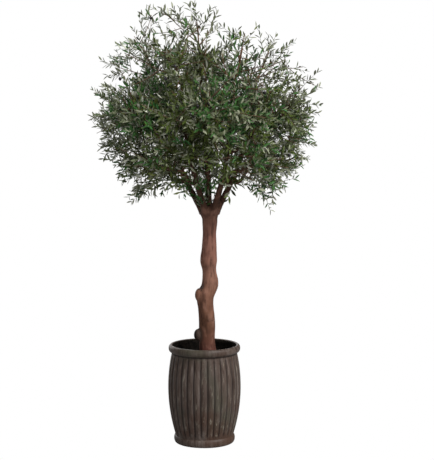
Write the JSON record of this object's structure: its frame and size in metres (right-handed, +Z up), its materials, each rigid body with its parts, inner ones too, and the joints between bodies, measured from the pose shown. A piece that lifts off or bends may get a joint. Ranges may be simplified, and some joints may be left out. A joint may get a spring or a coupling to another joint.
{
  "type": "potted olive tree",
  "caption": "Olive tree grown as a standard: a ball crown of narrow leaves on a clear twisted trunk, in a fluted barrel pot.",
  "frame": {"origin": "centre of the pot's flat underside", "axes": "+Z up the tree, -Y towards the front, +X to the right seen from the front"},
  "size_m": [1.222, 1.216, 2.3894],
  "materials": {
    "pot": "satin grey-brown glaze, darker in the flutes",
    "soil": "dark crumbly compost",
    "bark": "ridged reddish-brown bark",
    "leaf": "matt grey-green leaves, paler beneath"
  },
  "bodies": {
    "root": {"pot": "pot", "soil": "soil", "trunk": "bark", "bough_1": "bark", "skirt_bough_1": "bark", "side_bough_1": "bark", "bough_2": "bark", "skirt_bough_2": "bark", "side_bough_2": "bark", "bough_3": "bark", "skirt_bough_3": "bark", "side_bough_3": "bark", "bough_4": "bark", "skirt_bough_4": "bark", "side_bough_4": "bark", "bough_5": "bark", "skirt_bough_5": "bark", "side_bough_5": "bark", "leader": "bark", "skirt_foliage_1": "leaf", "skirt_foliage_2": "leaf", "skirt_foliage_3": "leaf", "skirt_foliage_4": "leaf", "skirt_foliage_5": "leaf", "side_foliage_1": "leaf", "side_foliage_2": "leaf", "side_foliage_3": "leaf", "side_foliage_4": "leaf", "side_foliage_5": "leaf", "shoulder_foliage_1": "leaf", "shoulder_foliage_2": "leaf", "shoulder_foliage_3": "leaf", "shoulder_foliage_4": "leaf", "shoulder_foliage_5": "leaf", "top_foliage": "leaf"}
  },
  "joints": []
}
